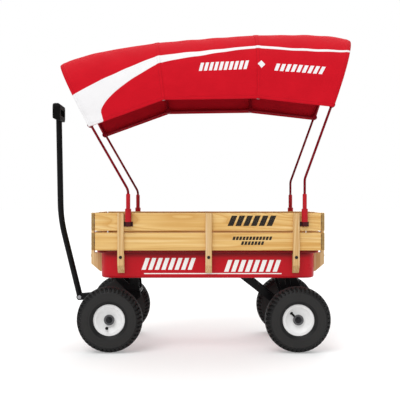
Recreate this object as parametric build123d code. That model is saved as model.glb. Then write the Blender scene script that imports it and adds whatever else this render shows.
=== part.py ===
from build123d import *
import math
import os

# A kids pull wagon: a pressed steel tray with wooden plank sides on four pneumatic wheels,
# a steering front axle with a tall pull handle, and a fabric canopy on four steel rods.
# The handle end is at -X, up is +Z, and the ground is z = 0. Lengths are in millimetres.
# Everything is modelled with the tray's middle at x = 0, then moved by TRAY_X, so that the
# origin of the finished part is on the ground under the middle of its overall box.

TRAY_X = 25.3

# Tray
TRAY_LENGTH = 914.0           # over the rolled rim
TRAY_WIDTH = 445.0
WALL_LENGTH = 876.0           # over the walls
WALL_WIDTH = 404.0
WALL_CORNER = 50.0            # plan radius of the walls' corners
SHEET = 1.5                   # thickness of the steel
FLOOR_Z = 296.0               # underside of the floor
RIM_RADIUS = 5.0              # the rolled edge
RIM_Z = 403.0                 # centre of the rolled edge
DIMPLE_DEPTH = 2.5            # the floor is pressed down round each bolt
DIMPLE_RADIUS = 12.0
GROOVE_WIDTH = 14.0           # stiffening grooves pressed into the floor
GROOVE_FRONT = -270.0
GROOVE_REAR = 110.0
GROOVE_YS = (-135.0, -45.0, 45.0, 135.0)

# Plank sides
PLANK_HEIGHT = 72.0
PLANK_GAP = 7.5
PLANK_BASE_Z = 410.0
SIDE_PLANK_LENGTH = 914.0
SIDE_PLANK_IN = 211.0         # inner face from the middle of the wagon
SIDE_PLANK_OUT = 225.0
END_PLANK_IN = 460.0
END_PLANK_OUT = 472.0
END_PLANK_WIDTH = 444.0
PLANK_ROUND = 2.0             # eased edges

# Stakes that hold the planks and hook under the tray's rim
STAKE_WIDTH = 26.0
SIDE_STAKE_OUT = 239.0
END_STAKE_OUT = 484.0
STAKE_BOTTOM_Z = 318.0
STAKE_CHAMFER_Z = 350.0
STAKE_STEP_Z = 396.0
SIDE_STAKE_XS = (-352.0, 3.0, 356.0)
END_STAKE_YS = (-125.0, 125.0)
STAKE_BOLT_Z = 383.0

# Wheels and axles
TYRE_RADIUS = 133.0
TYRE_HALF_WIDTH = 42.5
BEAD_RADIUS = 51.0
BEAD_SEAT = 24.0              # half the distance between the rim's flanges
RIM_LIP_RADIUS = 63.5
HUB_RADIUS = 19.0
HUB_IN = -32.0                # hub ends, from the wheel's middle plane, outwards
HUB_OUT = 20.0
BEARING_RADIUS = 16.0
BEARING_FLANGE = 21.5
BEARING_FLANGE_THICK = 2.5
AXLE_RADIUS = 6.35
AXLE_RUN_CLEARANCE = 0.05
AXLE_Z = TYRE_RADIUS
AXLE_HALF_LENGTH = 266.0
WHEEL_Y = 228.0
FRONT_AXLE_X = -396.0
REAR_AXLE_X = 362.0
VALVE_AT = 37.0               # distance of the valve from the axle

# Undercarriage
PLATE = 4.0
FRAME_TOP_Z = FLOOR_Z - DIMPLE_DEPTH
FORK_Y = 60.0                 # inner face of the bolster's and the fork's side plates
HANGER_Y = 100.0              # inner face of the rear hangers
BRACE_FOOT_X = 152.0
KINGPIN_X = -315.0
KINGPIN_RADIUS = 6.0
BOLSTER_FLOOR_Z = 228.0       # underside of the front bolster
THRUST_WASHER = 2.0
TONGUE_IN = 13.5              # inner faces of the tongue's two arms
TONGUE_THICK = 3.5

# Handle
PIVOT_X = -552.5
PIVOT_Z = 194.7
PIVOT_RADIUS = 5.0
EYE_RADIUS = 14.0
HANDLE_TUBE_RADIUS = 12.7
HANDLE_WALL = 1.6
HANDLE_BEND = (-635.7, 531.0)
HANDLE_BEND_RADIUS = 600.0
HANDLE_TOP = (-644.0, 971.0)
GRIP_HALF_WIDTH = 62.0
GRIP_HALF_DEPTH = 16.0
GRIP_LOW_Z = 955.0
GRIP_TOP_Z = 1030.0

# Canopy sockets on the side planks
SOCKET_Y = 239.0
FRONT_SOCKET_X = -321.0
REAR_SOCKET_X = 389.0
SOCKET_TOP_Z = 639.0
SOCKET_STEP_Z = 579.0
SOCKET_BASE_Z = 526.0
SOCKET_RADIUS = 8.5
SOCKET_FOOT_RADIUS = 12.5
SOCKET_BORE_Z = 560.0
CLIP_BASE_Z = 507.0

# Canopy frame: round rod, with every arch a half circle of the same radius
ROD_RADIUS = 5.0
ROD_SLIDE_CLEARANCE = 0.25
ARCH_RADIUS = 239.0
BOW_BEND_RADIUS = 50.0
BOW_FOOT_Z = 562.0            # clear of the bottom of the sockets' bores
FRONT_BEND_Z = 654.0
REAR_BEND_Z = 698.0
# each arch as (x, z) at its hem and (x, z) at its crown
FRONT_ARCH = ((-474.0, 916.0), (-615.0, 1184.0))
FRONT_RIB = ((-180.0, 1026.0), (-213.0, 1281.0))
REAR_RIB = ((203.0, 1032.0), (204.0, 1313.0))
REAR_ARCH = ((500.0, 997.0), (596.0, 1288.0))
RAIL_Y = ARCH_RADIUS - 2 * ROD_RADIUS - 0.8
RAIL_BEND_RADIUS = 150.0
JOINER_RADIUS = 11.0
CLOTH_GAP = 3.4               # from the rods to the cloth's inner face
CLOTH_THICK = 2.5
CLOTH_DROP = 11.0             # the hem hangs this far below the rail's middle
CLOTH_OVERHANG = 9.0          # past the front and rear bows
FRONT_SWELL = (0.35, 19.0)    # the end panels are cut to stand higher: how far along from
REAR_SWELL = (0.32, 17.0)     # the bow to the rib, and how much at the crown

SIDES = (("left", -1), ("right", 1))


# ---------------------------------------------------------------- basic shapes

def block(x0, x1, y0, y1, z0, z1):
    """A box between two corners, given in any order."""
    middle = ((x0 + x1) / 2, (y0 + y1) / 2, (z0 + z1) / 2)
    return Pos(*middle) * Box(abs(x1 - x0), abs(y1 - y0), abs(z1 - z0))


def slab(length, width, corner, z0, z1):
    """A flat slab about the origin with rounded corners in plan."""
    return Pos(0, 0, z0) * extrude(RectangleRounded(length, width, corner), z1 - z0)


def rod(start, end, radius):
    """A round bar between two points."""
    start = Vector(*start)
    run = Vector(*end) - start
    return Solid.make_cylinder(radius, run.length, Plane(origin=start, z_dir=run))


def collar(start, end, outer, inner):
    """A tube between two points."""
    return rod(start, end, outer) - rod(start, end, inner)


def hexagon(start, end, across_flats):
    """A hexagonal bar between two points."""
    start = Vector(*start)
    run = Vector(*end) - start
    outline = RegularPolygon(across_flats / 2, 6, major_radius=False)
    return extrude(Plane(origin=start, z_dir=run) * outline, run.length)


def side_plate(points, y0, y1, radius):
    """A plate that faces sideways, from its outline in x and z."""
    outline = FilletPolyline(*[(x, y0, z) for x, z in points], radius=radius, close=True)
    return extrude(make_face(outline.edges()), y1 - y0, dir=(0, 1, 0))


def both_sides(shape):
    """A shape and its mirror image on the other side of the wagon."""
    return [shape, mirror(shape, about=Plane.XZ)]


def to_side(shape, sign):
    """A shape made on the right, left there or mirrored to the left."""
    return shape if sign > 0 else mirror(shape, about=Plane.XZ)


# ---------------------------------------------------------------- tray

def frame_bolt_places():
    """Where the undercarriage is bolted up through the tray's floor."""
    places = []
    for sign in (-1, 1):
        places += [(-389.0, sign * 82.0), (-312.0, sign * 82.0)]
        places += [(308.0, sign * 82.0), (352.0, sign * 82.0)]
        places += [(BRACE_FOOT_X, sign * 121.0)]
    return places


def stake_bolt_lines():
    """The bolt through each stake, as its axis from outside the stake to inside the tray."""
    lines = []
    for sign in (-1, 1):
        for x in SIDE_STAKE_XS:
            lines.append(((x, sign * SIDE_STAKE_OUT), (x, sign * (WALL_WIDTH / 2 - SHEET))))
        for y in END_STAKE_YS:
            lines.append(((sign * END_STAKE_OUT, y), (sign * (WALL_LENGTH / 2 - SHEET), y)))
    return lines


def stretch(line, out, inward):
    """A level line at the stakes' bolt height, made longer past its outer and inner ends."""
    a = Vector(*line[0], STAKE_BOLT_Z)
    b = Vector(*line[1], STAKE_BOLT_Z)
    step = (b - a).normalized()
    return a - step * out, b + step * inward


def make_tray():
    """One pressed steel body: floor, walls, flange and rolled rim."""
    inner_corner = WALL_CORNER - SHEET
    flange_length = TRAY_LENGTH - 2 * RIM_RADIUS
    flange_width = TRAY_WIDTH - 2 * RIM_RADIUS
    flange_corner = WALL_CORNER + (flange_width - WALL_WIDTH) / 2
    body = slab(WALL_LENGTH, WALL_WIDTH, WALL_CORNER, FLOOR_Z, RIM_Z)
    body = fillet(body.edges().group_by(Axis.Z)[0], 9)
    body += slab(flange_length, flange_width, flange_corner, RIM_Z - SHEET, RIM_Z)
    hollow = slab(
        WALL_LENGTH - 2 * SHEET, WALL_WIDTH - 2 * SHEET, inner_corner, FLOOR_Z + SHEET, RIM_Z + 20
    )
    hollow = fillet(hollow.edges().group_by(Axis.Z)[0], 9 - SHEET)
    body -= hollow
    path = Pos(0, 0, RIM_Z) * RectangleRounded(flange_length, flange_width, flange_corner).wire()
    body += sweep(Plane(origin=path @ 0, z_dir=path % 0) * Circle(RIM_RADIUS), path=path)
    low = FLOOR_Z - DIMPLE_DEPTH
    for x, y in frame_bolt_places():
        body += rod((x, y, low), (x, y, FLOOR_Z + SHEET / 2), DIMPLE_RADIUS + SHEET)
        body -= rod((x, y, low + SHEET), (x, y, FLOOR_Z + 2 * SHEET), DIMPLE_RADIUS)
        body -= rod((x, y, low - 1), (x, y, low + 2 * SHEET), 3.2)
    length = GROOVE_REAR - GROOVE_FRONT
    middle = (GROOVE_FRONT + GROOVE_REAR) / 2
    for y in GROOVE_YS:
        outer = slab(length + 2 * SHEET, GROOVE_WIDTH + 2 * SHEET, GROOVE_WIDTH / 2 + SHEET - 0.1,
                     low, FLOOR_Z + SHEET / 2)
        inner = slab(length, GROOVE_WIDTH, GROOVE_WIDTH / 2 - 0.1, low + SHEET, FLOOR_Z + 2 * SHEET)
        body += Pos(middle, y, 0) * outer
        body -= Pos(middle, y, 0) * inner
    for line in stake_bolt_lines():
        body -= rod(*stretch(line, 0, 10), 3.1)
    return body


# ---------------------------------------------------------------- plank sides

def plank_base(level):
    """Height of a plank's lower edge: level 0 is the lower plank, 1 the upper."""
    return PLANK_BASE_Z + level * (PLANK_HEIGHT + PLANK_GAP)


def stake_screw_lines():
    """Wood screws from the planks' inner faces into the stakes: (head point, tip point)."""
    lines = []
    for sign in (-1, 1):
        for level in (0, 1):
            z = plank_base(level) + PLANK_HEIGHT / 2
            for x in SIDE_STAKE_XS:
                head = (x, sign * SIDE_PLANK_IN, z)
                lines.append((head, (x, sign * (SIDE_STAKE_OUT - 4), z)))
            for y in END_STAKE_YS:
                head = (sign * END_PLANK_IN, y, z)
                lines.append((head, (sign * (END_STAKE_OUT - 3), y, z)))
    return lines


def bracket_screw_lines():
    """Screws that hold the corner brackets to the planks, outwards from the bracket's face."""
    lines = []
    for sx in (-1, 1):
        for sy in (-1, 1):
            for level in (0, 1):
                z = plank_base(level) + PLANK_HEIGHT / 2
                y = sy * (SIDE_PLANK_IN - 1.7)
                lines.append(((sx * 436.0, y, z), (sx * 436.0, y + sy * 12.0, z)))
                x = sx * (END_PLANK_IN - 1.7)
                lines.append(((x, sy * 186.0, z), (x + sx * 11.0, sy * 186.0, z)))
    return lines


def clip_screw_lines():
    """Two screws that hold each canopy socket's clip to the upper side plank."""
    lines = []
    z = (CLIP_BASE_Z + SOCKET_BASE_Z) / 2
    for sign in (-1, 1):
        for x in (FRONT_SOCKET_X, REAR_SOCKET_X):
            for dx in (-13.8, 13.8):
                head = (x + dx, sign * (SIDE_PLANK_OUT + 2.5), z)
                lines.append((head, (x + dx, sign * (SIDE_PLANK_OUT - 10), z)))
    return lines


def screw(line):
    """A pan-head wood screw. Its head sits before the first point, its shank runs to the second."""
    head = Vector(*line[0])
    step = (Vector(*line[1]) - head).normalized()
    return rod(head - step * 1.8, head, 3.3) + rod(head, line[1], 2.0)


def screw_hole(line):
    """The pilot hole round a screw's shank."""
    head = Vector(*line[0])
    step = (Vector(*line[1]) - head).normalized()
    return rod(head - step * 3, Vector(*line[1]) + step * 0.5, 2.1)


def make_plank(x0, x1, y0, y1, level, holes):
    """One board with eased edges, with the pilot holes that pass through it."""
    z = plank_base(level)
    board = block(x0, x1, y0, y1, z, z + PLANK_HEIGHT)
    board = fillet(board.edges(), PLANK_ROUND)
    for line in holes:
        if abs(line[0][2] - (z + PLANK_HEIGHT / 2)) < PLANK_HEIGHT / 2:
            board -= screw_hole(line)
    return board


def stake_outline(wall, plank_out, out):
    """A stake's section, from its distance to the tray's wall, the planks and its outer face."""
    top = plank_base(1) + PLANK_HEIGHT
    return [
        (wall, STAKE_STEP_Z),
        (wall, STAKE_BOTTOM_Z),
        (wall + 8.0, STAKE_BOTTOM_Z),
        (out, STAKE_CHAMFER_Z),
        (out, top),
        (plank_out, top),
        (plank_out, STAKE_STEP_Z),
    ]


def make_side_stake(x, sign):
    """A notched batten on the tray's side."""
    points = stake_outline(WALL_WIDTH / 2, SIDE_PLANK_OUT, SIDE_STAKE_OUT)
    half = STAKE_WIDTH / 2
    outline = Polyline(*[(x - half, sign * out, z) for out, z in points], close=True)
    stake = extrude(make_face(outline.edges()), STAKE_WIDTH, dir=(1, 0, 0))
    outer = stake.edges().filter_by(Axis.Z).sort_by(Axis.Y)
    return fillet(outer[-2:] if sign > 0 else outer[:2], PLANK_ROUND)


def make_end_stake(y, sign):
    """A notched batten on the tray's front or rear."""
    points = stake_outline(WALL_LENGTH / 2, END_PLANK_OUT, END_STAKE_OUT)
    half = STAKE_WIDTH / 2
    outline = Polyline(*[(sign * out, y - half, z) for out, z in points], close=True)
    stake = extrude(make_face(outline.edges()), STAKE_WIDTH, dir=(0, 1, 0))
    outer = stake.edges().filter_by(Axis.Z).sort_by(Axis.X)
    return fillet(outer[-2:] if sign > 0 else outer[:2], PLANK_ROUND)


def drilled(stake):
    """A stake with its bolt hole and pilot holes."""
    box = stake.bounding_box()
    for line in stake_bolt_lines():
        if box.min.X < line[0][0] + 1 < box.max.X + 2 and box.min.Y < line[0][1] + 1 < box.max.Y + 2:
            stake -= rod(*stretch(line, 5, 5), 3.1)
    for line in stake_screw_lines():
        x, y, _ = line[1]
        if box.min.X < x < box.max.X and box.min.Y < y < box.max.Y:
            stake -= screw_hole(line)
    return stake


def make_stake_bolts():
    """Round-head bolts through the stakes and the tray's wall, with washers and nuts inside."""
    solids = []
    for line in stake_bolt_lines():
        outside, inside = stretch(line, 0, 0)
        step = (inside - outside).normalized()
        head = rod(outside - step * 2.4, outside, 6.5)
        head = fillet(head.edges().filter_by(GeomType.CIRCLE).sort_by_distance(outside - step * 9)[0], 2)
        solids.append(head + rod(outside, inside + step * 10, 3.0))
        solids.append(collar(inside, inside + step * 1.2, 8.0, 3.1))
        nut = hexagon(inside + step * 1.2, inside + step * 6.2, 10.0)
        solids.append(nut - rod(inside, inside + step * 12, 3.1))
    return solids


def make_corner_brackets():
    """Steel angles inside the corners, one for each plank level."""
    solids = []
    for sx in (-1, 1):
        for sy in (-1, 1):
            for level in (0, 1):
                z = plank_base(level) + PLANK_HEIGHT / 2
                y = sy * SIDE_PLANK_IN
                x = sx * END_PLANK_IN
                legs = block(sx * 420.0, x, y - sy * 1.7, y, z - 12, z + 12)
                legs += block(x - sx * 1.7, x, sy * 172.0, y, z - 12, z + 12)
                for line in bracket_screw_lines():
                    legs -= screw_hole(line)
                solids.append(legs)
    return solids


# ---------------------------------------------------------------- undercarriage

def make_front_bolster():
    """A folded bracket under the tray that carries the kingpin."""
    outline = [
        (-410.0, FRAME_TOP_Z), (-344.0, BOLSTER_FLOOR_Z), (-288.0, BOLSTER_FLOOR_Z),
        (-294.0, FRAME_TOP_Z),
    ]
    window = [(-366.0, 288.0), (-331.0, 288.0), (-331.0, 254.0)]
    shape = block(-344.0, -288.0, -FORK_Y - PLATE, FORK_Y + PLATE,
                  BOLSTER_FLOOR_Z, BOLSTER_FLOOR_Z + PLATE)
    for sign in (-1, 1):
        plate = side_plate(outline, FORK_Y, FORK_Y + PLATE, 2)
        plate -= side_plate(window, FORK_Y - 1, FORK_Y + PLATE + 1, 3)
        foot = block(-408.0, -296.0, FORK_Y, 98.0, FRAME_TOP_Z - PLATE, FRAME_TOP_Z)
        shape += to_side(plate + foot, sign)
    for x, y in frame_bolt_places():
        shape -= rod((x, y, FRAME_TOP_Z - 2 * PLATE), (x, y, FRAME_TOP_Z + 1), 3.2)
    return shape - rod((KINGPIN_X, 0, 200), (KINGPIN_X, 0, 250), KINGPIN_RADIUS + 0.05)


def make_rear_hanger(sign):
    """A plate with a foot that hangs the rear axle from the tray."""
    outline = [
        (292.0, FRAME_TOP_Z), (346.0, AXLE_Z - 6), (REAR_AXLE_X, AXLE_Z - 19),
        (378.0, AXLE_Z - 6), (388.0, 255.0), (369.0, FRAME_TOP_Z),
    ]
    window = [(318.0, 285.0), (345.0, 285.0), (352.0, 250.0), (352.0, 190.0)]
    plate = side_plate(outline, HANGER_Y, HANGER_Y + PLATE, 6)
    plate -= side_plate(window, HANGER_Y - 1, HANGER_Y + PLATE + 1, 4)
    plate += block(294.0, 367.0, 68.0, HANGER_Y + PLATE, FRAME_TOP_Z - PLATE, FRAME_TOP_Z)
    plate -= axle_hole(REAR_AXLE_X)
    for x, y in frame_bolt_places():
        plate -= rod((x, y, FRAME_TOP_Z - 2 * PLATE), (x, y, FRAME_TOP_Z + 1), 3.2)
    return to_side(plate, sign)


def make_rear_brace(sign):
    """A diagonal strap from the rear axle forwards and up to the tray."""
    y0 = HANGER_Y + PLATE
    outline = [
        (BRACE_FOOT_X - 24, FRAME_TOP_Z), (345.0, AXLE_Z - 8), (REAR_AXLE_X, AXLE_Z - 19),
        (380.0, AXLE_Z - 4), (370.0, AXLE_Z + 17), (352.0, AXLE_Z + 19),
        (BRACE_FOOT_X + 24, FRAME_TOP_Z),
    ]
    strap = side_plate(outline, y0, y0 + PLATE, 3)
    strap += block(BRACE_FOOT_X - 18, BRACE_FOOT_X + 18, y0, 138.0, FRAME_TOP_Z - PLATE, FRAME_TOP_Z)
    strap -= axle_hole(REAR_AXLE_X)
    for x, y in frame_bolt_places():
        strap -= rod((x, y, FRAME_TOP_Z - 2 * PLATE), (x, y, FRAME_TOP_Z + 1), 3.2)
    return to_side(strap, sign)


def axle_hole(x):
    """A bore for an axle, right across the wagon."""
    return rod((x, -300, AXLE_Z), (x, 300, AXLE_Z), AXLE_RADIUS + AXLE_RUN_CLEARANCE)


def make_frame_bolts():
    """Flat round-head bolts in the floor's dimples, each with a washer and a nut below."""
    solids = []
    seat = FLOOR_Z - DIMPLE_DEPTH + SHEET
    under = FRAME_TOP_Z - PLATE
    for x, y in frame_bolt_places():
        solids.append(rod((x, y, seat), (x, y, seat + 2.2), 8.0) + rod((x, y, under - 9), (x, y, seat), 3.0))
        solids.append(collar((x, y, under - 1.2), (x, y, under), 8.0, 3.2))
        nut = hexagon((x, y, under - 6.2), (x, y, under - 1.2), 10.0)
        solids.append(nut - rod((x, y, under - 8), (x, y, under), 3.1))
    return solids


def make_kingpin():
    """The bolt that the front axle steers about, its thrust washer and its lock nut."""
    top = BOLSTER_FLOOR_Z + PLATE
    under = BOLSTER_FLOOR_Z - THRUST_WASHER - 2 * PLATE
    bolt = rod((KINGPIN_X, 0, under - 12), (KINGPIN_X, 0, top), KINGPIN_RADIUS)
    bolt += hexagon((KINGPIN_X, 0, top), (KINGPIN_X, 0, top + 7.5), 18.0)
    washer = collar((KINGPIN_X, 0, BOLSTER_FLOOR_Z - THRUST_WASHER), (KINGPIN_X, 0, BOLSTER_FLOOR_Z),
                    26.0, KINGPIN_RADIUS + 0.06)
    nut = hexagon((KINGPIN_X, 0, under - 10), (KINGPIN_X, 0, under - 0.3), 18.0)
    nut -= rod((KINGPIN_X, 0, under - 20), (KINGPIN_X, 0, under), KINGPIN_RADIUS + 0.06)
    return [bolt, washer, nut]


def make_fork():
    """A folded bracket that turns under the bolster and holds the front axle."""
    top = BOLSTER_FLOOR_Z - THRUST_WASHER
    outline = [
        (-350.0, top), (-414.0, AXLE_Z + 8), (-412.0, AXLE_Z - 12), (FRONT_AXLE_X, AXLE_Z - 18),
        (-378.0, AXLE_Z - 12), (-284.0, top - 22), (-284.0, top),
    ]
    shape = block(-350.0, -284.0, -FORK_Y - PLATE, FORK_Y + PLATE, top - PLATE, top)
    for sign in (-1, 1):
        shape += to_side(side_plate(outline, FORK_Y, FORK_Y + PLATE, 3), sign)
    shape -= axle_hole(FRONT_AXLE_X)
    return shape - rod((KINGPIN_X, 0, 150), (KINGPIN_X, 0, 250), KINGPIN_RADIUS + 0.06)


def make_tongue():
    """A channel from the fork forwards to the handle's pivot, open below and at its front."""
    top = BOLSTER_FLOOR_Z - THRUST_WASHER - PLATE
    outline = [
        (-292.0, top), (-410.0, top), (PIVOT_X + 14, PIVOT_Z + 15), (PIVOT_X - 6, PIVOT_Z + 14),
        (PIVOT_X - 14, PIVOT_Z), (PIVOT_X - 6, PIVOT_Z - 13), (PIVOT_X + 14, PIVOT_Z - 12),
        (-410.0, top - 24), (-292.0, top - 24),
    ]
    web = [
        (-292.0, top), (-410.0, top), (-512.0, PIVOT_Z + 17.3), (-512.0, PIVOT_Z + 12),
        (-409.5, top - PLATE), (-292.0, top - PLATE),
    ]
    shape = side_plate(web, -TONGUE_IN - 0.5, TONGUE_IN + 0.5, 0.5)
    for sign in (-1, 1):
        shape += to_side(side_plate(outline, TONGUE_IN, TONGUE_IN + TONGUE_THICK, 4), sign)
    shape -= rod((PIVOT_X, -30, PIVOT_Z), (PIVOT_X, 30, PIVOT_Z), PIVOT_RADIUS + 0.06)
    return shape - rod((KINGPIN_X, 0, 150), (KINGPIN_X, 0, 250), KINGPIN_RADIUS + 0.06)


def make_pivot_bolt():
    """The bolt through the tongue's arms and the handle's eye, with its nut."""
    out = TONGUE_IN + TONGUE_THICK
    bolt = rod((PIVOT_X, -out, PIVOT_Z), (PIVOT_X, out + 8, PIVOT_Z), PIVOT_RADIUS)
    bolt += hexagon((PIVOT_X, -out - 5.5, PIVOT_Z), (PIVOT_X, -out, PIVOT_Z), 15.0)
    nut = hexagon((PIVOT_X, out, PIVOT_Z), (PIVOT_X, out + 6.5, PIVOT_Z), 15.0)
    return [bolt, nut - rod((PIVOT_X, 0, PIVOT_Z), (PIVOT_X, 50, PIVOT_Z), PIVOT_RADIUS + 0.06)]


# ---------------------------------------------------------------- axles and wheels

def make_axle(x):
    """A plain steel axle with chamfered ends."""
    axle = rod((x, -AXLE_HALF_LENGTH, AXLE_Z), (x, AXLE_HALF_LENGTH, AXLE_Z), AXLE_RADIUS)
    return chamfer(axle.edges().filter_by(GeomType.CIRCLE), 1.0)


def make_axle_retainers(x):
    """On each end of an axle: an inner collar, an outer washer and a lock nut."""
    bore = AXLE_RADIUS + AXLE_RUN_CLEARANCE
    hub_in = WHEEL_Y + HUB_IN - BEARING_FLANGE_THICK - 0.3
    hub_out = WHEEL_Y + HUB_OUT + BEARING_FLANGE_THICK + 0.3
    solids = both_sides(collar((x, hub_in - 6, AXLE_Z), (x, hub_in, AXLE_Z), 11.0, bore))
    solids += both_sides(collar((x, hub_out, AXLE_Z), (x, hub_out + 2, AXLE_Z), 13.0, bore))
    nut = hexagon((x, hub_out + 2, AXLE_Z), (x, hub_out + 11, AXLE_Z), 19.0)
    nut = fillet(nut.edges().group_by(Axis.Y)[-1], 1.0)
    nut -= rod((x, 200, AXLE_Z), (x, 300, AXLE_Z), bore)
    return solids + both_sides(nut)


def ring_of(edges):
    """A solid of revolution about the Y axis, from the closed outline of its section."""
    return revolve(make_face(edges), axis=Axis.Y)


def make_tyre():
    """A pneumatic tyre about the Y axis: a casing open on its inside, from bead to bead."""
    low, seat, side = BEAD_RADIUS, BEAD_SEAT, TYRE_HALF_WIDTH
    top = RIM_LIP_RADIUS + 0.8
    edges = []
    edges += ThreePointArc((top, -seat - 4), (96, -side), (123, -33)).edges()
    edges += ThreePointArc((123, -33), (TYRE_RADIUS, 0), (123, 33)).edges()
    edges += ThreePointArc((123, 33), (96, side), (top, seat + 4)).edges()
    edges += Polyline((top, seat + 4), (top, seat), (low, seat), (low, seat - 6), (60, seat - 6)).edges()
    edges += ThreePointArc((60, seat - 6), (95, side - 7), (116, 26)).edges()
    edges += ThreePointArc((116, 26), (TYRE_RADIUS - 9, 0), (116, -26)).edges()
    edges += ThreePointArc((116, -26), (95, 7 - side), (60, 6 - seat)).edges()
    edges += Polyline((60, 6 - seat), (low, 6 - seat), (low, -seat), (top, -seat), (top, -seat - 4)).edges()
    return ring_of(edges)


def make_rim(valve_angle):
    """A pressed steel rim about the Y axis, dished on its outer side, welded to a hub tube."""
    lip, seat = RIM_LIP_RADIUS, BEAD_SEAT + 0.02
    barrel = BEAD_RADIUS - 0.02
    inside = barrel - 2.5
    edges = []
    edges += Polyline((lip, seat), (lip, 26.6), (62.4, 27.4), (60.5, 26.4), (52.5, 25.6)).edges()
    edges += ThreePointArc((52.5, 25.6), (37, 14.6), (HUB_RADIUS - 1, 9)).edges()
    edges += Line((HUB_RADIUS - 1, 9), (HUB_RADIUS - 1, 6.5)).edges()
    edges += ThreePointArc((HUB_RADIUS - 1, 6.5), (36, 11.6), (inside, 19)).edges()
    edges += Polyline((inside, 19), (inside, -26.5), (62.5, -26.5), (lip, -25.5), (lip, -seat),
                      (barrel, -seat), (barrel, seat), (lip, seat)).edges()
    rim = ring_of(edges)
    rim += collar((0, HUB_IN, 0), (0, HUB_OUT, 0), HUB_RADIUS, BEARING_RADIUS)
    x, z = valve_place(valve_angle)
    return rim - rod((x, 0, z), (x, 60, z), 4.5)


def valve_place(angle):
    """Where the valve passes through the rim's dish."""
    return VALVE_AT * math.cos(math.radians(angle)), VALVE_AT * math.sin(math.radians(angle))


def make_valve(angle):
    """The inner tube's valve stem with its cap."""
    x, z = valve_place(angle)
    stem = rod((x, 6, z), (x, 21, z), 4.4) + rod((x, 21, z), (x, 30, z), 3.2)
    return stem + chamfer(rod((x, 30, z), (x, 38, z), 4.0).edges().group_by(Axis.Y)[-1], 0.8)


def make_bearings():
    """The two flanged bearings in a hub's ends."""
    solids = []
    bore = AXLE_RADIUS + AXLE_RUN_CLEARANCE
    for end, step in ((HUB_IN, -1), (HUB_OUT, 1)):
        body = collar((0, end - step * 12, 0), (0, end, 0), BEARING_RADIUS - 0.02, bore)
        flange = collar((0, end, 0), (0, end + step * BEARING_FLANGE_THICK, 0), BEARING_FLANGE, bore)
        solids.append(body + flange)
    return solids


def make_wheel(x, sign, valve_angle):
    """The pieces of one wheel in place, by their short names."""
    pieces = {
        "tyre": [make_tyre(), make_valve(valve_angle)],
        "rim": [make_rim(valve_angle)],
        "bearings": make_bearings(),
    }
    place = Pos(x, WHEEL_Y, AXLE_Z)
    return {name: [to_side(place * s, sign) for s in solids] for name, solids in pieces.items()}


# ---------------------------------------------------------------- handle

def toward(start, end, distance):
    """The point at a distance from one (x, z) point towards another, in the middle plane."""
    a = Vector(start[0], 0, start[1])
    b = Vector(end[0], 0, end[1])
    return a + (b - a).normalized() * distance


def make_handle_eye():
    """A forged eye on the pivot bolt, with a plug that fits inside the handle's tube."""
    pivot = (PIVOT_X, PIVOT_Z)
    width = TONGUE_IN - 0.5
    eye = rod((PIVOT_X, -width, PIVOT_Z), (PIVOT_X, width, PIVOT_Z), EYE_RADIUS)
    eye = fillet(eye.edges().filter_by(GeomType.CIRCLE), 1.5)
    eye += rod(toward(pivot, HANDLE_BEND, 5), toward(pivot, HANDLE_BEND, 24), HANDLE_TUBE_RADIUS)
    plug = HANDLE_TUBE_RADIUS - HANDLE_WALL - 0.02
    eye += rod(toward(pivot, HANDLE_BEND, 20), toward(pivot, HANDLE_BEND, 50), plug)
    return eye - rod((PIVOT_X, -30, PIVOT_Z), (PIVOT_X, 30, PIVOT_Z), PIVOT_RADIUS + 0.06)


def make_handle_tube():
    """A bent steel tube from the eye to the grip."""
    start = toward((PIVOT_X, PIVOT_Z), HANDLE_BEND, 24)
    corner = (HANDLE_BEND[0], 0, HANDLE_BEND[1])
    path = FilletPolyline(start, corner, (HANDLE_TOP[0], 0, HANDLE_TOP[1]), radius=HANDLE_BEND_RADIUS)
    plane = Plane(origin=path @ 0, z_dir=path % 0)
    outer = sweep(plane * Circle(HANDLE_TUBE_RADIUS), path=path)
    inner = sweep(plane * Circle(HANDLE_TUBE_RADIUS - HANDLE_WALL), path=path)
    return outer - inner


def make_grip():
    """A moulded loop grip: two side posts, a bar to hold and a yoke round the tube."""
    x = HANDLE_TOP[0]
    front, back = x - GRIP_HALF_DEPTH, x + GRIP_HALF_DEPTH
    outline = [
        (front, GRIP_LOW_Z + 9), (front, GRIP_TOP_Z - 5), (front + 7, GRIP_TOP_Z),
        (back - 11, GRIP_TOP_Z), (back, GRIP_TOP_Z - 9), (back, GRIP_LOW_Z),
        (back - 8, GRIP_LOW_Z), (front + 9, GRIP_LOW_Z + 4),
    ]
    half = GRIP_HALF_WIDTH
    grip = side_plate(outline, -half, half, 2.4)
    face = RectangleRounded(2 * half, GRIP_TOP_Z - GRIP_LOW_Z, 22)
    middle = (GRIP_TOP_Z + GRIP_LOW_Z) / 2
    envelope = extrude(Plane(origin=(x - 60, 0, middle), x_dir=(0, 1, 0), z_dir=(1, 0, 0)) * face, 120)
    grip &= envelope
    hole = RectangleRounded(88, 27, 11)
    opening = Plane(origin=(x - 60, 0, GRIP_LOW_Z + 34.5), x_dir=(0, 1, 0), z_dir=(1, 0, 0)) * hole
    grip -= extrude(opening, 120)
    mouth = toward(HANDLE_TOP, HANDLE_BEND, 40)
    return grip - rod(mouth, toward(HANDLE_TOP, HANDLE_BEND, -0.2), HANDLE_TUBE_RADIUS + 0.05)


# ---------------------------------------------------------------- canopy

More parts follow.
